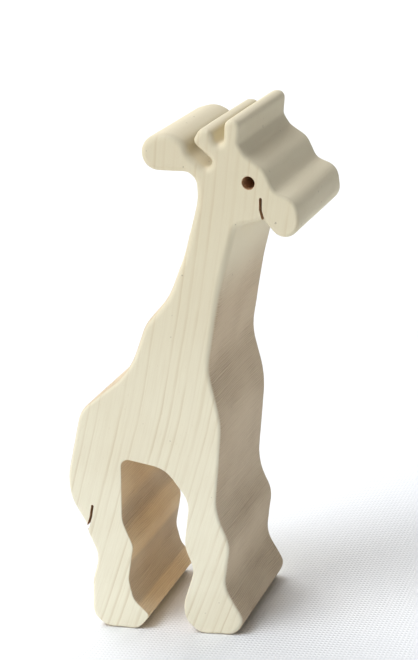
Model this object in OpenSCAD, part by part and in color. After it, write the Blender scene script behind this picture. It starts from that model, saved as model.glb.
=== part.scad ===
// Standing giraffe figure, sawn in profile from one thick board and sanded by hand.
// X runs from the rump to the muzzle, Y through the board and Z up.
// The origin is on the ground, under the middle of the figure.

/* [Board] */
// Thickness of the board
board_t = 38; // [26:0.5:48]
// Radius sanded on the edges of the outline
edge_r = 1.5; // [0.5:0.1:1.8]

/* [Overall] */
// Height to the top of the front horn
height = 152.4; // [126:0.2:190]
// Length of the trunk, from the rump to the chest
body_l = 51; // [42:1:64]
// How far the muzzle reaches ahead of the chest
reach = 30.5; // [24:0.5:40]

/* [Trunk] */
// Height of the corner of the rump
rump_h = 70.5; // [66:0.5:76]
// Height of the fullest part of the chest
chest_h = 67; // [62:0.5:72]
// Height of the bend above the chest
bend_h = 83; // [78:0.5:88]
// Height of the withers, where the neck begins
withers_h = 96.5; // [90:0.5:100]
// How far the withers stand behind the front of the chest
withers_back = 18.5; // [16:0.5:22]

/* [Legs] */
// Length of each foot
foot_l = 18; // [15:0.5:22]
// Height of the toes
toe_h = 5; // [4:0.25:7]
// Width of the rear leg at its narrowest
rear_leg_w = 12; // [9.5:0.5:14.5]
// Width of the front leg at its narrowest
front_leg_w = 10; // [8:0.5:12]
// Height of the knees
knee_h = 28; // [24:0.5:32]
// Height of the arch between the legs
arch_h = 55.5; // [46:0.5:58]

/* [Head] */
// Length of the head, from the nape to the muzzle
head_l = 27.5; // [25:0.5:32]
// Height from the nape to the top of the front horn
crown_h = 13.6; // [12:0.1:15]
// Radius of the muzzle
muzzle_r = 4.6; // [3.5:0.1:5]
// Length of the ear behind the nape
ear_l = 14.8; // [12:0.2:18]
// Width of the ear
ear_w = 10.2; // [8:0.2:10.6]
// Diameter of the drilled eye
eye_d = 3.5; // [2:0.1:4.5]

/* [Saw cuts] */
// Width of the saw cuts that mark the mouth and the tail
kerf_w = 0.8; // [0.6:0.1:1.5]
// Depth of the saw cut for the mouth
mouth_l = 5.8; // [4:0.2:7]
// Length of the saw cut beside the tail
tail_l = 7.5; // [5:0.5:9]

/* [Hidden] */
wood = [0.87, 0.83, 0.72];

// Amount cut off the soles to lay them flat, and how far a cut runs past the wood
sole_cut = 0.05;
past = 1;

// How far a chord may leave its arc, the closest that two points of an outline may lie, the
// steps of a small circle, and the angle of each step over a sanded edge
chord_error = 0.02;
closest = 0.01;
round_fn = 48;
edge_step = 30;

// A sanded edge is cut by a facet at a time, each run on a little past the wood at both ends.
// A corner that stands out is rounded enough to leave room for that inside it.
run_on = 0.3;
least_r = (1 + run_on / 2) * edge_r + 0.1;

// Places along X and Z
length = body_l + reach;
rump_x = -length / 2;
chest_x = rump_x + body_l;
muzzle_x = length / 2;
heel_x = rump_x + 0.3;
rear_toe_x = heel_x + foot_l + 1.2;
front_toe_x = chest_x - 1.5;
front_heel_x = front_toe_x - foot_l - 0.8;
rear_shin_x = rump_x + 5.8;
front_shin_x = chest_x - 5.5;
arch_rear_x = rear_shin_x + rear_leg_w;
arch_front_x = front_shin_x - front_leg_w;
ground = -sole_cut;
nape = [muzzle_x - head_l, height - crown_h];
nape_low = nape + [-0.4, -7.2];
jaw = nape + [9.8, -15.1];
eye_in = [14.9, -3.3];
throat_in = [17.7, -13.6];
tail_tip = [rump_x + 3.9, knee_h + 5.4];
withers = [chest_x - withers_back, withers_h];
bend = [chest_x - 1.3, bend_h];

// A point part of the way from a to b, and bow to the right of that line
function between(a, b, part, bow) =
    let (along = b - a, side = [along[1], -along[0]] / norm(along))
    a + part * along + bow * side;

// Every corner is [x, z, radius]. The outline runs clockwise as the figure faces right, from
// the rear heel over the back and the head and down the front. The arch comes after it.
function corner(at, r) = [at[0], at[1], r];
function head(dx, dz, r) = corner(nape + [dx, dz], r);

rear_leg = [
    [heel_x + 3.9, ground, 6.8],                // under the heel
    [heel_x, toe_h - 1.2, 6.8],                 // heel
    [heel_x + 1.9, toe_h + 10.5, 14],           // back of the shin
    [rear_shin_x, knee_h - 4.2, 9],             // hollow of the shin
    [rump_x + 3.5, knee_h + 3.6, 2.5],          // hock, just under the tail
];
back = [
    [rump_x + 3.5, knee_h + 6.3, 1.2],          // tip of the tail
    [rump_x, rump_h - 28.3, 14],                // thigh
    [rump_x, rump_h - 21.3, 20],                // buttock
    [rump_x + 7.8, rump_h, 11],                 // rump
    [withers[0] - 6.7, withers_h - 13.7, 26],   // rise of the back
    corner(withers, 14),
    corner(between(withers, nape_low, 0.26, 3.2), 24),
    corner(between(withers, nape_low, 0.6, 2.6), 60),
    corner(nape_low, 14),
];
ear = [
    head(0, 0, 3.5),                            // nape
    head(-ear_l, 1.3, ear_w / 2),               // tip, below
    head(-ear_l, ear_w - 0.5, ear_w / 2),       // tip, above
    head(-6, ear_w + 1.1, 8),                   // top
    head(-1.6, 8.6, 4),                         // shoulder
    head(-1, 4.8, 4),                           // front edge
    head(3.6, 0.6, 1.2),                        // notch between the ear and the horns
    head(5.6, 2.7, 1.2),
];
horns = [
    head(0.4, 8.4, 1.8),                        // rear horn
    head(3.2, 11.8, 2),
    head(6.4, 11.4, 1.8),
    head(7, 7.1, 1.4),                          // gap between the horns
    head(9.1, 7.1, 1.4),
    head(10.2, crown_h, 2.2),                   // front horn
    head(15, crown_h, 1.9),
];
face = [
    head(13.5, 7, 1),                           // foot of the front horn
    head(15, 3.8, 4),                           // forehead
    head(19.6, 0.1, 5),                         // brow
    head(21.7, -6, 3.5),                        // dip of the nose
    head(head_l, -8.9, muzzle_r),               // muzzle, above
    head(head_l, -17.3, muzzle_r),              // muzzle, below
    head(21.4, -19.3, muzzle_r),                // chin
    head(17.8, -13.4, 0.6),                     // throat notch
    corner(jaw, 4),
];
front = [
    corner(between(jaw, bend, 0.45, 0.9), 90),  // throat
    corner(bend, 20),
    [chest_x + 0.5, chest_h, 30],               // chest
    [front_shin_x, knee_h + 11.5, 20],          // above the knee
    [front_shin_x + 3.2, knee_h + 1.5, 10],     // knee
    [front_shin_x - 0.5, knee_h - 12.5, 10],    // hollow of the shin
    [front_toe_x, toe_h + 0.2, 3.5],            // toe
    [front_toe_x - 3, 2 * ground, 7],           // under the toe
];
leg_arch = [
    [front_heel_x + foot_l / 2, ground - 2 * past, 0],
    [front_heel_x + foot_l / 2, ground, 0],
    [front_heel_x + 4.4, ground, 7.5],          // under the front heel
    [front_heel_x, toe_h - 0.6, 7.5],           // front heel
    [front_heel_x + 0.6, toe_h + 5, 9],         // back of the front shin
    [arch_front_x + 0.7, knee_h - 7.2, 6],      // hollow behind the shin
    [arch_front_x - 1.3, knee_h + 0.5, 10],     // back of the front knee
    [arch_front_x + 2.4, arch_h - 12.8, 8],     // top of the front leg
    [arch_front_x - 3.5, arch_h - 2.6, 8],      // belly
    [arch_rear_x + 0.8, arch_h + 0.4, 2.4],
    [arch_rear_x - 2.3, knee_h + 7.8, 8],       // front of the thigh
    [arch_rear_x, knee_h - 0.5, 5],             // rear knee
    [arch_rear_x - 3.4, knee_h - 11.5, 6],      // rear shin
    [rear_toe_x - 4.5, toe_h + 4.8, 5],         // instep
    [rear_toe_x, toe_h - 0.2, 1.2],             // rear toe
    [rear_toe_x - 4.6, ground, 8],              // under the rear toe
    [rear_toe_x - foot_l / 2, ground, 0],
    [rear_toe_x - foot_l / 2, ground - 2 * past, 0],
];

// The points of a list of corners once each is rounded, by less where its sides are too short.
// Where the list is cut and sanded from outside, least is the least radius of an outer corner.
function unit(v) = v / norm(v);
function left(v) = [-v[1], v[0]];
function turned(v, a) = [v[0] * cos(a) - v[1] * sin(a), v[0] * sin(a) + v[1] * cos(a)];
function place(c) = [c[0], c[1]];
function rounded(list, least = 0) = apart([
    for (i = [0:len(list) - 1])
        let (
            here = place(list[i]),
            before = here - place(list[(i + len(list) - 1) % len(list)]),
            after = place(list[(i + 1) % len(list)]) - here,
            u = unit(before),
            side = cross(u, after) < 0 ? 1 : -1,
            turn = acos(u * unit(after)),
            room = min(norm(before), norm(after)) / 2,
            wanted = side > 0 ? max(list[i][2], least) : list[i][2],
            tangent = min(wanted * tan(turn / 2), room),
            r = tangent / tan(turn / 2),
            middle = here - tangent * u - side * r * left(u),
            steps = r > chord_error ? ceil(turn / acos(1 - chord_error / r) / 2) : 0
        )
        for (k = [0:steps])
            middle + side * r * turned(left(u), -side * turn * k / max(steps, 1))
]);
function apart(points) = [
    for (i = [0:len(points) - 1])
        if (norm(points[(i + 1) % len(points)] - points[i]) > closest)
            points[i]
];

// A closed clockwise outline moved into the wood by depth, point by point
function inside(points, depth) = [
    for (i = [0:len(points) - 1])
        let (
            u = left(unit(points[i] - points[(i + len(points) - 1) % len(points)])),
            v = left(unit(points[(i + 1) % len(points)] - points[i]))
        )
        points[i] - depth * (u + v) / (1 + u * v)
];

outline = rounded(concat(rear_leg, back, ear, horns, face, front), least_r);

// A flat shape in X and Z, given a thickness across the board
module across(thickness) {
    rotate([90, 0, 0])
        linear_extrude(thickness, center = true)
            children();
}

// The wood that sanding takes off one edge of the outline, as [depth, rise] across the edge.
// Depth is from the sawn edge and rise from where the rounding starts.
arc = [for (a = [0:edge_step:90]) edge_r * [1 - cos(a), sin(a)]];
sanded_off = concat(
    [arc[0] - run_on * (arc[1] - arc[0])],
    [for (i = [1:len(arc) - 2]) arc[i]],
    [arc[len(arc) - 1] + run_on * (arc[len(arc) - 1] - arc[len(arc) - 2])],
    [[-run_on, edge_r + run_on]]
);

module sanding() {
    rings = [for (s = sanded_off) inside(outline, s[0])];
    count = len(outline);
    around = len(rings);
    polyhedron(
        points = [
            for (k = [0:around - 1])
                for (p = rings[k])
                    [p[0], board_t / 2 - edge_r + sanded_off[k][1], p[1]]
        ],
        faces = [
            for (k = [0:around - 1])
                for (i = [0:count - 1])
                    let (j = (i + 1) % count, next = (k + 1) % around)
                    [k * count + i, k * count + j, next * count + j, next * count + i]
        ]
    );
}

module sanded_blank() {
    difference() {
        across(board_t)
            polygon(outline);
        sanding();
        mirror([0, 1, 0])
            sanding();
    }
}

module between_the_legs() {
    across(board_t + 2 * past)
        polygon(rounded(leg_arch));
}

// A saw cut along a line of points: it opens at the first and ends round at the last
module saw_cut(line) {
    last = len(line) - 1;
    sides = [for (i = [0:last]) left(unit(line[min(i + 1, last)] - line[min(i, last - 1)]))];
    one_side = [for (i = [0:last]) line[i] + sides[i] * kerf_w / 2];
    other_side = [for (i = [last:-1:0]) line[i] - sides[i] * kerf_w / 2];
    across(board_t + 2 * past) {
        polygon(concat(one_side, other_side));
        translate(line[last])
            circle(d = kerf_w, $fn = round_fn);
    }
}

module mouth() {
    throat = nape + throat_in;
    saw_cut([
        throat + [0.2, -past],
        throat,
        throat + [-0.4, mouth_l / 2],
        throat + [0, mouth_l],
    ]);
}

module tail_slit() {
    lean = unit([2, 5]);
    saw_cut([
        tail_tip - past * unit([1, 2]),
        tail_tip,
        tail_tip + tail_l / 2 * lean + [0.25, -0.1],
        tail_tip + tail_l * lean,
    ]);
}

module eye() {
    across(board_t + 2 * past)
        translate(nape + eye_in)
            circle(d = eye_d, $fn = round_fn);
}

module below_ground() {
    translate([-length, -board_t, -height])
        cube([2 * length, 2 * board_t, height]);
}

module giraffe() {
    color(wood)
        difference() {
            sanded_blank();
            between_the_legs();
            mouth();
            tail_slit();
            eye();
            below_ground();
        }
}

giraffe();
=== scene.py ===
"""Looks for the standing giraffe figure: one thick pale board, sawn in profile and sanded by hand.

The outline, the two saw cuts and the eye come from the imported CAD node. The board is built again
around that outline as a fine mesh, with its edges sanded rounder on the neck, the ear and the
horns than on the legs and the face.
"""

import math

import bmesh
import bpy
import numpy as np
from mathutils import Matrix, Vector, noise


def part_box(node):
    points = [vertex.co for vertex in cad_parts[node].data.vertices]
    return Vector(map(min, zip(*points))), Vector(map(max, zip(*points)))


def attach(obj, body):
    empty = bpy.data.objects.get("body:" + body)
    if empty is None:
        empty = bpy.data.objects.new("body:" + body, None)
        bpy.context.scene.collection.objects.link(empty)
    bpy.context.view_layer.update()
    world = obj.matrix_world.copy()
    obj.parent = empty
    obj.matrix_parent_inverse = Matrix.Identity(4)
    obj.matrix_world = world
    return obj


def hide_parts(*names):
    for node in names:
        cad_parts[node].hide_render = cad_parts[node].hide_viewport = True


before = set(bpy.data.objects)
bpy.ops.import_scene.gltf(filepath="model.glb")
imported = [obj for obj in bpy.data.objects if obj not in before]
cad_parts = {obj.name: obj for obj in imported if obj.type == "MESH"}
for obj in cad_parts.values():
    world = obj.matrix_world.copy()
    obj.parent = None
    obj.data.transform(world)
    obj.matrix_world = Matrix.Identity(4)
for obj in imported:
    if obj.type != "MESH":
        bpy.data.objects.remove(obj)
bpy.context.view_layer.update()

MM = 0.001
NODE = "giraffe"
LOW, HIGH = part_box(NODE)
HALF_T = (HIGH.y - LOW.y) / 2
HEIGHT = HIGH.z - LOW.z


def direction(azimuth, elevation):
    """The unit vector from the figure towards what stands at that azimuth and elevation, in
    degrees. Azimuth 0 is in front of the board's near face and 90 ahead of the muzzle."""
    azimuth, elevation = math.radians(azimuth), math.radians(elevation)
    return Vector((
        math.sin(azimuth) * math.cos(elevation),
        -math.cos(azimuth) * math.cos(elevation),
        math.sin(elevation),
    ))


# ---------------------------------------------------------------- camera

# The optical axis passes through AIM. Angles are in degrees, and the lens goes with a 36 mm
# sensor on the picture's long side.
AIM = Vector((2.75 * MM, 0, 0.5785 * HEIGHT))
CAMERA_AZIMUTH, CAMERA_ELEVATION, CAMERA_ROLL = 23.79, 18.21, -8.3
CAMERA_DISTANCE = 0.4572
LENS, SENSOR = 87.27, 36
CLIP = 0.01, 50


def make_camera():
    away = direction(CAMERA_AZIMUTH, CAMERA_ELEVATION)
    data = bpy.data.cameras.new("camera")
    data.sensor_width = SENSOR
    data.lens = LENS
    data.clip_start, data.clip_end = CLIP
    camera = bpy.data.objects.new("camera", data)
    bpy.context.scene.collection.objects.link(camera)
    turn = away.to_track_quat("Z", "Y").to_matrix().to_4x4()
    roll = Matrix.Rotation(math.radians(CAMERA_ROLL), 4, "Z")
    camera.matrix_world = Matrix.Translation(AIM + CAMERA_DISTANCE * away) @ turn @ roll
    bpy.context.scene.camera = camera


make_camera()

# ---------------------------------------------------------------- outlines read from the CAD node

WELD, ON_CUT = 0.001 * MM, 0.0001 * MM      # corners closer than this are one, or lie on the cut
NOT_HERE = 1e-9         # what is deeper than this is another point of the outline, in metres


def section_loops():
    """Closed loops of (x, z) where the middle of the board's thickness cuts the CAD node."""
    bm = bmesh.new()
    bm.from_mesh(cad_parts[NODE].data)
    bmesh.ops.remove_doubles(bm, verts=bm.verts[:], dist=WELD)
    cut = bmesh.ops.bisect_plane(
        bm, geom=bm.verts[:] + bm.edges[:] + bm.faces[:],
        plane_co=(0, 0, 0), plane_no=(0, 1, 0), dist=ON_CUT,
    )["geom_cut"]
    nexts = {}
    for edge in cut:
        if isinstance(edge, bmesh.types.BMEdge):
            a, b = edge.verts
            nexts.setdefault(a, []).append(b)
            nexts.setdefault(b, []).append(a)
    loops = []
    while nexts:
        start = min(nexts, key=lambda v: (v.co.x, v.co.z))
        loop, last, here = [], None, start
        while here in nexts:
            loop.append((here.co.x, here.co.z))
            onward = [v for v in nexts.pop(here) if v is not last and v in nexts]
            last, here = here, onward[0] if onward else start
        loops.append(np.array(loop))
    bm.free()
    return sorted((anticlockwise(loop) for loop in loops), key=area, reverse=True)


def area(loop):
    x, z = loop.T
    return float(np.sum(x * np.roll(z, -1) - z * np.roll(x, -1)) / 2)


def anticlockwise(loop):
    return loop if area(loop) > 0 else loop[::-1]


def resampled(loop, step):
    """The closed loop with points evenly spaced, about step apart."""
    closed = np.vstack([loop, loop[:1]])
    at = np.concatenate([[0], np.cumsum(np.linalg.norm(np.diff(closed, axis=0), axis=1))])
    places = np.linspace(0, at[-1], max(8, round(at[-1] / step)), endpoint=False)
    return np.column_stack([np.interp(places, at, closed[:, k]) for k in (0, 1)])


def smoothed(values, sigma):
    """Values around a closed loop, blurred by sigma points."""
    turns = np.fft.fftfreq(len(values))
    keep = np.exp(-2 * (math.pi * turns * sigma) ** 2)
    shape = (-1,) + (1,) * (values.ndim - 1)
    return np.fft.ifft(np.fft.fft(values, axis=0) * keep.reshape(shape), axis=0).real


def outward(loop):
    """Unit normals of an anticlockwise loop."""
    along = np.roll(loop, -1, 0) - np.roll(loop, 1, 0)
    along = along / np.linalg.norm(along, axis=1, keepdims=True)
    return np.column_stack([along[:, 1], -along[:, 0]])


def room_inside(loop, normal):
    """At each point, the radius of the largest disc that touches the loop there from inside."""
    room = np.empty(len(loop))
    for i in range(len(loop)):
        to = loop[i] - loop
        deep = to @ normal[i]
        held = deep > NOT_HERE
        room[i] = np.min((to[held] ** 2).sum(1) / (2 * deep[held]))
    return room


SLOT_MAX = 1.2 * MM     # saw cuts are narrower than this, and everything else is wider
SLOT_MIN = 0.1 * MM
OPPOSITE = -0.8         # two walls face each other where their normals' product is below this
FINE = 0.1 * MM         # spacing of the points that are looked at


def split_saw_cuts(loop):
    """The outline without its saw cuts, and each saw cut as an open line of points from one side
    of its mouth to the other."""
    loop = resampled(loop, FINE)
    normal = outward(loop)
    facing = np.zeros(len(loop), bool)
    for i in range(len(loop)):
        to = loop - loop[i]
        near = (np.abs(to).max(1) < SLOT_MAX) & (normal @ normal[i] < OPPOSITE)
        facing[i] = bool(np.any(near & (to @ normal[i] > SLOT_MIN)))
    # The blind round end of a cut faces its mouth, so the marks on both its walls are joined.
    reach = round(SLOT_MAX / FINE)
    wide = np.any([np.roll(facing, k) for k in range(-reach, reach + 1)], axis=0)
    inside = np.all([np.roll(wide, k) for k in range(-reach, reach + 1)], axis=0)
    start = int(np.argmin(inside))
    loop, inside = np.roll(loop, -start, 0), np.roll(inside, -start)
    edges = np.flatnonzero(np.diff(inside.astype(int)))
    cuts = [loop[a - 1:b + 3] for a, b in zip(edges[::2], edges[1::2])]
    return loop[~inside], cuts


# ---------------------------------------------------------------- the board

STEP = 0.35 * MM        # spacing of the points round the outline
EDGE_RINGS = 9          # rings of the mesh over each sanded edge
WALL_ROWS = 16          # rows of the mesh across the sawn edge of the board
LIP = 0.15 * MM         # flat ring inside each sanded edge, which keeps its shading off the face

# Radius that the edges of the outline were sanded to, against height. They are rounder on the
# neck and the ear, crisper down the face, from the foot of the front horn to the chin, and only
# just broken in the arch.
SANDED_AT = np.array([0, 0.35, 0.5, 0.62, 0.72, 1]) * HEIGHT
SANDED_TO = np.array([1.2, 1.1, 1.3, 1.8, 2.1, 2.0]) * MM
FACE_EDGE, FACE_LENGTH, FACE_FROM = 1.1 * MM, 15 * MM, 0.75
ARCH_EDGE = 0.35 * MM
LEAST_EDGE = 0.1 * MM
ROOM_USED = 0.9         # the share of the room in the wood that an edge's radius may take
EDGE_BLUR, EDGE_BLURS = 4, 3    # how far a change of radius is spread, in points, and how often

OUTLINE_BLUR = 0.4 * MM     # the CAD outline's facets are smoothed over this length
SOLE_SNAP = 0.03 * MM       # what is as near as this to the floor after that lies on it
ON_SOLE = 0.02 * MM

# How far the saw blade wandered, and the noise that it follows, in waves per metre along the
# outline and across the board. It fades out just above the soles, which are flat.
WANDER = 0.07 * MM
WANDER_ALONG, WANDER_ACROSS, WANDER_SEED = 160, 45, 3
WANDER_FROM = 1 * MM


def in_arch(loop):
    """True at the points of the outline that lie between the legs, from one sole to the other."""
    sole = loop[:, 1] < LOW.z + ON_SOLE
    heel = int(np.argmin(np.where(sole, loop[:, 0], np.inf)))
    toe = int(np.argmax(np.where(sole, loop[:, 0], -np.inf)))
    order = (np.arange(len(loop)) - heel) % len(loop)
    return (order < order[toe]) & ~sole


def sanding_radius(loop, normal):
    """The radius of the sanded edge at each point, never more than the wood there has room for."""
    radius = np.interp(loop[:, 1], SANDED_AT, SANDED_TO)
    radius[in_arch(loop)] = ARCH_EDGE
    face = (loop[:, 0] > HIGH.x - FACE_LENGTH) & (loop[:, 1] > FACE_FROM * HEIGHT)
    radius[face] = FACE_EDGE
    limit = ROOM_USED * room_inside(loop, normal) - LIP
    radius = np.minimum(radius, limit)
    for _ in range(EDGE_BLURS):
        radius = np.minimum(smoothed(radius, EDGE_BLUR), limit)
    return np.maximum(radius, LEAST_EDGE)


def board_mesh(loop):
    """The sawn and sanded board, closed, with no saw cuts yet. UVs run along the outline and
    across the board, in metres."""
    normal = outward(loop)
    radius = sanding_radius(loop, normal)
    arc = [math.radians(90 * k / EDGE_RINGS) for k in range(EDGE_RINGS + 1)]
    rings = [(radius + LIP, np.full(len(loop), HALF_T))]
    rings += [(radius * (1 - math.cos(a)), HALF_T - radius * (1 - math.sin(a))) for a in arc[::-1]]
    rows = [1 - 2 * k / WALL_ROWS for k in range(1, WALL_ROWS)]
    rings += [(0 * radius, share * (HALF_T - radius)) for share in rows]
    rings += [(inset, -y) for inset, y in rings[EDGE_RINGS + 1::-1]]

    length = np.linalg.norm(np.roll(loop, -1, 0) - loop, axis=1)
    along = np.concatenate([[0], np.cumsum(length)])
    bm = bmesh.new()
    uv = bm.loops.layers.uv.new("board")
    made = []
    for inset, y in rings:
        ring = []
        for i, (x, z) in enumerate(loop):
            at = Vector((along[i] * WANDER_ALONG, y[i] * WANDER_ACROSS, WANDER_SEED))
            above_sole = min(1, max(0, (z - LOW.z) / WANDER_FROM))
            out = WANDER * noise.noise(at) * above_sole - inset[i]
            ring.append(bm.verts.new((x + out * normal[i, 0], y[i], z + out * normal[i, 1])))
        made.append(ring)
    count = len(loop)
    for k in range(len(rings) - 1):
        for i in range(count):
            j = (i + 1) % count
            face = bm.faces.new((made[k][i], made[k][j], made[k + 1][j], made[k + 1][i]))
            corners = ((i, k, i), (i + 1, k, j), (i + 1, k + 1, j), (i, k + 1, i))
            for corner, (s, ring, at) in zip(face.loops, corners):
                corner[uv].uv = (along[s], rings[ring][1][at])
            face.smooth = True
    for ring in (made[0][::-1], made[-1]):
        face = bm.faces.new(ring)
        for corner in face.loops:
            corner[uv].uv = (corner.vert.co.x, corner.vert.co.z)
        face.smooth = True
    bmesh.ops.recalc_face_normals(bm, faces=bm.faces[:])
    mesh = bpy.data.meshes.new(NODE)
    bm.to_mesh(mesh)
    bm.free()
    return mesh


EYE_RIM = 0.1 * MM          # the eye's rim was eased by the sanding
PAST_FACE = 1 * MM          # how far the cutters stand out of the board's faces
PAST_MOUTH = 2 * MM         # and out of the mouth of a saw cut


def slot_mesh(line):
    """A solid that cuts one saw slot right across the board and out past its mouth."""
    mouth = (line[0] + line[-1]) / 2
    out = mouth - line[len(line) // 2]
    out = PAST_MOUTH * out / np.linalg.norm(out)
    ring = np.vstack([line[0] + out, line, line[-1] + out])
    return prism([(ring, -HALF_T - PAST_FACE), (ring, HALF_T + PAST_FACE)])


def eye_mesh(loop):
    """A solid that drills the eye through the board and eases both its rims."""
    centre = loop.mean(0)
    wide = centre + (loop - centre) * (1 + EYE_RIM / np.linalg.norm(loop - centre, axis=1).mean())
    rings = [(wide, -HALF_T - PAST_FACE), (wide, -HALF_T), (loop, -HALF_T + EYE_RIM)]
    return prism(rings + [(ring, -y) for ring, y in rings[::-1]])


def prism(rings):
    """A closed solid through rings of (x, z) points, each at its own y."""
    bm = bmesh.new()
    made = [[bm.verts.new((x, y, z)) for x, z in ring] for ring, y in rings]
    for a, b in zip(made, made[1:]):
        for i in range(len(a)):
            j = (i + 1) % len(a)
            bm.faces.new((a[i], a[j], b[j], b[i])).smooth = True
    bm.faces.new(made[0][::-1])
    bm.faces.new(made[-1])
    bmesh.ops.recalc_face_normals(bm, faces=bm.faces[:])
    mesh = bpy.data.meshes.new("cutter")
    bm.to_mesh(mesh)
    bm.free()
    return mesh


def subtract(obj, cutters, material):
    """Cuts each mesh out of obj. The cut walls get that material."""
    for mesh in cutters:
        mesh.materials.append(material)
        cutter = bpy.data.objects.new("cutter", mesh)
        bpy.context.scene.collection.objects.link(cutter)
        cut = obj.modifiers.new("cut", "BOOLEAN")
        cut.operation, cut.solver, cut.material_mode = "DIFFERENCE", "EXACT", "TRANSFER"
        cut.object = cutter
        shown = obj.evaluated_get(bpy.context.evaluated_depsgraph_get())
        result = bpy.data.meshes.new_from_object(shown)
        obj.modifiers.clear()
        obj.data = result
        bpy.data.objects.remove(cutter)


# ---------------------------------------------------------------- materials


class Nodes:
    """A short way to write a material's nodes."""

    def __init__(self, name):
        self.material = bpy.data.materials.new(name)
        self.material.use_nodes = True
        self.tree = self.material.node_tree
        self.shader = self.tree.nodes["Principled BSDF"]

    def add(self, kind, *inputs, **settings):
        node = self.tree.nodes.new("ShaderNode" + kind)
        for key, value in settings.items():
            if key in node.inputs.keys():
                self.put(value, node.inputs[key])
            else:
                setattr(node, key, value)
        for socket, value in zip(node.inputs, inputs):
            self.put(value, socket)
        return node

    def put(self, value, socket):
        if isinstance(value, bpy.types.NodeSocket):
            self.tree.links.new(value, socket)
        else:
            socket.default_value = value

    def math(self, operation, *inputs):
        return self.add("Math", *inputs, operation=operation).outputs[0]

    def times(self, value, *others):
        for other in others:
            value = self.math("MULTIPLY", value, other)
        return value

    def plus(self, value, *others):
        for other in others:
            value = self.math("ADD", value, other)
        return value

    def sway(self, value, reach):
        """value taken from 0..1 to -reach..reach."""
        return self.math("MULTIPLY_ADD", value, 2 * reach, -reach)

    def split(self, vector):
        return self.add("SeparateXYZ", vector).outputs

    def ramp(self, value, low, high, to_low=0.0, to_high=1.0):
        """value taken smoothly from low..high to to_low..to_high."""
        node = self.add("MapRange", value, low, high, to_low, to_high)
        node.interpolation_type = "SMOOTHSTEP"
        return node.outputs[0]

    def noise(self, vector, scale, detail=2.0, rough=0.5):
        node = self.add("TexNoise", Vector=vector, Scale=scale, Detail=detail, Roughness=rough)
        return node.outputs["Fac"]

    def noise_1d(self, value, scale, detail=2.0, rough=0.5):
        node = self.add("TexNoise", noise_dimensions="1D")
        settings = {"W": value, "Scale": scale, "Detail": detail, "Roughness": rough}
        for key, setting in settings.items():
            self.put(setting, node.inputs[key])
        return node.outputs["Fac"]

    def mix(self, share, a, b):
        node = self.add("Mix", data_type="RGBA")
        self.put(share, node.inputs["Factor"])
        self.put(a, node.inputs[6])
        self.put(b, node.inputs[7])
        return node.outputs[2]

    def vector(self, x, y, z):
        return self.add("CombineXYZ", x, y, z).outputs[0]

    def set(self, **values):
        for key, value in values.items():
            self.put(value, self.shader.inputs[key.replace("_", " ")])


def srgb(r, g, b):
    """A colour as seen on a screen, 0 to 255, as Blender's linear one."""
    def linear(c):
        c /= 255
        return c / 12.92 if c <= 0.04045 else ((c + 0.055) / 1.055) ** 2.4
    return linear(r), linear(g), linear(b), 1


# The wood's numbers are in millimetres. The fibres lean from the rear feet towards the neck, less
# and less with height, and the rings stand almost square to the faces of the board.
GRAIN_LEAN, GRAIN_BEND = 0.515, 0.00096
RING_TILT, RING_CURVE = 0.1, 0.002
RISE_ALONG_X = 0.3      # how much of x counts as height along the leaning fibres

RING_PITCH = 3.1
FAINT_RINGS = 2.3       # faint rings for each strong one
RING_DARKENS, RING_DARKEST = 0.6, 0.9   # shares of a ring where its late wood begins and peaks

SAW_PITCH = 0.58        # spacing of the saw's tooth marks
SAW_DEPTH, FIBRE_DEPTH, FUZZ_DEPTH = 0.16, 0.01, 0.006
HEAD_SANDED = 0.64, 0.78    # shares of the height between which sanding took off the saw's marks
HEAD_LEFT = 0.12            # the share of them that is left above that
ARCH_X, ARCH_TOP, ARCH_FADE = (-24, -7), 56, 1      # bounds of the painted warm bounce light in the arch

PLANED_PAINTED_BOUNCE_LOW, PLANED_PAINTED_SHADE_HIGH = srgb(245, 241, 219), srgb(219, 210, 182)     # planed wood: lighter at the soles with painted floor bounce light, darker at the top with painted shade
CLOUDED = srgb(219, 208, 180)
LATE_WOOD = srgb(203, 186, 150)
FIBRES = srgb(207, 192, 162)
FLECKS = srgb(196, 172, 136)
SPECKS = srgb(120, 104, 80)
# The sawn tone is partly the sawn wood's own and partly painted shade on edges turned from the
# light. Inside the arch, it and the saw marks are paler and warmer: painted warm bounce light.
SAWN_AND_PAINTED_SHADE, SAWN_PAINTED_ARCH_BOUNCE = srgb(202, 175, 141), srgb(241, 211, 164)
SAW_MARKS, SAW_MARKS_PAINTED_ARCH_BOUNCE = srgb(162, 134, 104), srgb(192, 160, 122)
END_GRAIN = srgb(196, 164, 128)
# Walls of the cuts and the eye: a scorched tone together with painted shade of the narrow recesses.
SCORCHED_AND_SHADED, SCORCHED_AND_SHADED_PALE = srgb(176, 138, 104), srgb(204, 168, 132)

CLOTH_COLOUR = srgb(241, 242, 243)
THREAD_PITCH, THREAD_DEPTH = 1.2 * MM, 0.1 * MM


class Grain:
    """Where a point lies in the wood: mm is its place, across counts over the rings, along follows
    the fibres and through goes through the board."""

    def __init__(self, n):
        place = n.add("TexCoord").outputs["Object"]
        self.n = n
        self.mm = n.add("VectorMath", place, (1 / MM,) * 3, operation="MULTIPLY").outputs[0]
        x, self.through, z = n.split(self.mm)
        lean = n.times(z, n.math("SUBTRACT", GRAIN_LEAN, n.times(z, GRAIN_BEND)))
        tilt = n.times(self.through, n.plus(RING_TILT, n.times(self.through, RING_CURVE)))
        self.across = n.plus(n.math("SUBTRACT", x, lean), tilt)
        self.along = n.plus(z, n.times(x, RISE_ALONG_X))

    def drawn_out(self, share):
        """Coordinates for noise that is longer along the fibres: share of 1 leaves it round."""
        return self.n.vector(self.across, self.through, self.n.times(self.along, share))


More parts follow.
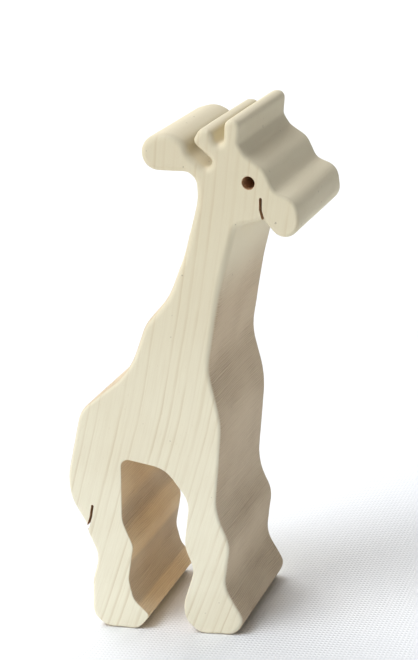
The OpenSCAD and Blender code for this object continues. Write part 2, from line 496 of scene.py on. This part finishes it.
def wood(name):
    """Bare pale close-grained hardwood: growth rings, fibres and flecks through the solid, and fine
    saw marks across the board's edges. The edges are darker than the planed faces, partly from the
    sawn wood's own tone and partly from painted shade."""
    n = Nodes(name)
    grain = Grain(n)
    late, faint = growth_rings(n, grain)
    fibre = n.noise(grain.drawn_out(0.05), scale=2.8, detail=4, rough=0.6)
    cloud = n.noise(grain.mm, scale=0.035)
    fleck = n.ramp(n.noise(grain.drawn_out(0.3), scale=2.2, detail=1), 0.7, 0.78)
    speck = n.ramp(n.noise(grain.mm, scale=0.8, detail=0), 0.84, 0.87)
    fuzz = n.noise(grain.mm, scale=6, detail=3, rough=0.7)

    nx, ny, nz = n.split(n.add("NewGeometry").outputs["Normal"])
    edge = n.ramp(n.math("ABSOLUTE", ny), 0.35, 0.9, 1.0, 0.0)
    face = n.math("SUBTRACT", 1.0, n.times(edge, 0.8))
    end = n.ramp(n.math("ABSOLUTE", n.plus(n.times(nz, 0.95), n.times(nx, 0.3))), 0.5, 0.95)
    up = n.times(n.split(grain.mm)["Z"], MM / HEIGHT)
    # Where the saw marks remain and the edges take the sawn tone with its painted shade: fully
    # below the head, little on it.
    unsanded_and_shaded = n.times(edge, n.ramp(up, *HEAD_SANDED, 1.0, HEAD_LEFT))
    saw = n.times(saw_marks(n, grain.mm), unsanded_and_shaded)
    # Painted warm bounce light on the legs' inner walls in the arch, on the sawn tone and on the
    # saw marks.
    arch_bounce = painted_arch_bounce(n, grain.mm)

    # Painted light: the planed tone darkens with height, from painted floor bounce light at the
    # soles to painted shade at the top.
    colour = n.mix(n.ramp(up, 0.0, 1.0), PLANED_PAINTED_BOUNCE_LOW, PLANED_PAINTED_SHADE_HIGH)
    for where, share, tint in (
        (n.ramp(cloud, 0.35, 0.65), 0.25, CLOUDED),
        (n.times(late, face), 0.48, LATE_WOOD),
        (n.times(faint, face), 0.08, LATE_WOOD),
        (n.ramp(fibre, 0.3, 0.7), 0.12, FIBRES),
        (fleck, 0.14, FLECKS),
        (speck, 0.45, SPECKS),
        (unsanded_and_shaded, 0.66, n.mix(arch_bounce, SAWN_AND_PAINTED_SHADE, SAWN_PAINTED_ARCH_BOUNCE)),
        (n.ramp(saw, 0.1, 1.1), 0.5, n.mix(arch_bounce, SAW_MARKS, SAW_MARKS_PAINTED_ARCH_BOUNCE)),
        (end, 0.04, END_GRAIN),
    ):
        colour = n.mix(n.times(where, share), colour, tint)

    height = n.plus(
        n.times(saw, -SAW_DEPTH), n.times(fibre, FIBRE_DEPTH), n.times(fuzz, FUZZ_DEPTH),
    )
    bump = n.add("Bump", Strength=1.0, Distance=MM, Height=height)
    n.set(Base_Color=colour, Roughness=n.ramp(edge, 0, 1, 0.56, 0.72), Normal=bump.outputs[0])
    n.set(Specular_IOR_Level=0.35)
    return n.material


def growth_rings(n, grain):
    """How dark the late wood is: in the strong rings, which are broken here and there and unevenly
    spaced, and in the faint ones between them."""
    drift = n.sway(n.noise(grain.mm, scale=0.02, detail=1), 1.2)
    ragged = n.sway(n.noise(grain.drawn_out(0.15), scale=0.9, detail=3), 0.2)
    ring_at = n.plus(grain.across, drift, ragged)
    uneven = n.sway(n.noise_1d(ring_at, scale=0.16, detail=1), 1.8)
    rings = n.math("DIVIDE", n.plus(ring_at, uneven), RING_PITCH)
    broken = n.ramp(n.noise(grain.drawn_out(0.12), scale=0.35), 0.35, 0.6, 0.35, 1.0)
    return n.times(ring_lines(n, rings), broken), ring_lines(n, n.times(rings, FAINT_RINGS))


def ring_lines(n, rings):
    """The dark end of each growth ring: a line that darkens slowly and ends sharply."""
    phase = n.math("FRACT", rings)
    late = n.times(n.ramp(phase, RING_DARKENS, RING_DARKEST), n.ramp(phase, RING_DARKEST, 1, 1, 0))
    each = n.ramp(n.noise_1d(n.math("FLOOR", rings), scale=3.7, detail=0), 0.35, 0.65, 0.2, 1.0)
    return n.times(late, each)


def saw_marks(n, mm):
    """Lines across the board where the saw's teeth passed: an even comb, clearer in some places
    than in others, and broader strokes."""
    u, v, _ = n.split(n.add("UVMap", uv_map="board").outputs[0])
    bowed = n.plus(n.times(u, 1 / MM), n.times(n.noise(mm, scale=0.05, detail=1), 2.0))
    v = n.times(v, 1 / MM)
    jitter = n.noise(n.vector(bowed, n.times(v, 0.05), 0), scale=0.9)
    tooth = n.math("DIVIDE", n.plus(bowed, n.times(jitter, 1.2)), SAW_PITCH)
    tooth = n.math("MULTIPLY_ADD", n.math("SINE", n.times(tooth, 2 * math.pi)), 0.5, 0.5)
    strokes = n.noise(n.vector(bowed, n.times(v, 0.04), 0), scale=1.6, detail=3, rough=0.65)
    patchy = n.ramp(n.noise(mm, scale=0.07, detail=1), 0.3, 0.8, 0.4, 1.0)
    return n.plus(n.times(tooth, patchy, 0.8), n.times(strokes, 0.5))


def painted_arch_bounce(n, mm):
    """1 where the legs' inner walls stand out into the arch, and 0 past its bounds. There, painted
    warm bounce light makes them warmer and paler than the outside walls."""
    x, _, z = n.split(mm)
    (low, high), top, fade = ARCH_X, ARCH_TOP, ARCH_FADE
    sides = n.times(n.ramp(x, low - fade, low), n.ramp(x, high, high + fade, 1.0, 0.0))
    return n.times(sides, n.ramp(z, top, top + fade, 1.0, 0.0))


def cut_wood(name):
    """The walls of the saw cuts and of the eye: the same wood, darker, partly scorched a little by
    the tool and partly painted shade in the narrow cuts and the hole.
    """
    n = Nodes(name)
    stripe = n.noise(Grain(n).drawn_out(1), scale=1.4, detail=3)
    bump = n.add("Bump", Strength=1.0, Distance=MM, Height=n.times(stripe, 0.06))
    n.set(Base_Color=n.mix(n.ramp(stripe, 0.3, 0.7), SCORCHED_AND_SHADED, SCORCHED_AND_SHADED_PALE))
    n.set(Roughness=0.8, Normal=bump.outputs[0], Specular_IOR_Level=0.2)
    return n.material


def cloth(name):
    """The plain pale floor, with a faint weave of threads both ways."""
    n = Nodes(name)
    x, y, _ = n.split(n.add("TexCoord").outputs["Object"])
    warp, weft = (n.math("SINE", n.times(at, 2 * math.pi / THREAD_PITCH)) for at in (x, y))
    weave = n.math("MAXIMUM", warp, weft)
    bump = n.add("Bump", Strength=0.45, Distance=THREAD_DEPTH, Height=weave)
    n.set(Base_Color=CLOTH_COLOUR, Roughness=0.9, Normal=bump.outputs[0], Specular_IOR_Level=0.1)
    return n.material


# ---------------------------------------------------------------- the figure

SHARP_ANGLE = 38        # edges that turn by more degrees than this are shaded as edges


def make_giraffe():
    outer, *holes = section_loops()
    outline, cuts = split_saw_cuts(outer)
    sole = outline[:, 1].min()
    loop = smoothed(resampled(outline, STEP), OUTLINE_BLUR / STEP)
    loop[:, 1] = np.where(loop[:, 1] < sole + SOLE_SNAP, sole, loop[:, 1])
    obj = bpy.data.objects.new("giraffe_board", board_mesh(loop))
    bpy.context.scene.collection.objects.link(obj)
    obj.data.materials.append(wood("pale_wood"))
    cutters = [slot_mesh(line) for line in cuts] + [eye_mesh(hole) for hole in holes]
    subtract(obj, cutters, cut_wood("cut_wood"))
    obj.data.set_sharp_from_angle(angle=math.radians(SHARP_ANGLE))
    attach(obj, "root")
    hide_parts(NODE)
    print("outline points", len(loop), "saw cuts", len(cuts), "holes", len(holes))


make_giraffe()

# ---------------------------------------------------------------- floor and light

FLOOR_RADIUS, FLOOR_SIDES = 6, 96
LIGHT_DISTANCE, LIGHT_SIZE = 3.2, 1.8
BAND = 0.15, 0.24       # heights, as sines, between which the horizon's band gives way to the sky


def make_floor():
    bm = bmesh.new()
    bmesh.ops.create_circle(bm, cap_ends=True, segments=FLOOR_SIDES, radius=FLOOR_RADIUS)
    mesh = bpy.data.meshes.new("floor")
    bm.to_mesh(mesh)
    bm.free()
    floor = bpy.data.objects.new("floor", mesh)
    floor.location.z = LOW.z
    bpy.context.scene.collection.objects.link(floor)
    mesh.materials.append(cloth("floor_cloth"))


def make_light(name, azimuth, elevation, power, colour):
    """A square soft light that faces the middle of the figure."""
    away = direction(azimuth, elevation)
    data = bpy.data.lights.new(name, "AREA")
    data.shape, data.size, data.energy, data.color = "SQUARE", LIGHT_SIZE, power, colour
    light = bpy.data.objects.new(name, data)
    light.visible_camera = False
    bpy.context.scene.collection.objects.link(light)
    light.location = AIM + LIGHT_DISTANCE * away
    light.rotation_euler = away.to_track_quat("Z", "Y").to_euler()


def make_world(sky, horizon):
    """A dim even sky with a pale band round the horizon, the backdrop of low views."""
    world = bpy.data.worlds.new("studio")
    world.use_nodes = True
    tree = world.node_tree
    toward = tree.nodes.new("ShaderNodeTexCoord")
    split = tree.nodes.new("ShaderNodeSeparateXYZ")
    band = tree.nodes.new("ShaderNodeMapRange")
    band.interpolation_type = "SMOOTHSTEP"
    tree.links.new(toward.outputs["Generated"], split.inputs[0])
    tree.links.new(split.outputs["Z"], band.inputs["Value"])
    for socket, value in zip(band.inputs[1:5], (*BAND, horizon, sky)):
        socket.default_value = value
    tree.links.new(band.outputs["Result"], tree.nodes["Background"].inputs["Strength"])
    tree.nodes["Background"].inputs["Color"].default_value = (1, 1, 1, 1)
    bpy.context.scene.world = world


make_floor()
make_world(0.08, 0.72)
make_light("window", 315, 62, 67, (0.95, 1.0, 1.08))
make_light("second_window", 225, 62, 42, (0.97, 1.0, 1.04))
make_light("back_wall", 180, 38, 27, (1.04, 1.0, 0.96))
make_light("low_fill", 315, 12, 29, (1.1, 1.0, 0.85))
make_light("low_back_fill", 225, 12, 24, (1.08, 1.0, 0.9))
bpy.context.scene.view_settings.view_transform = "Standard"
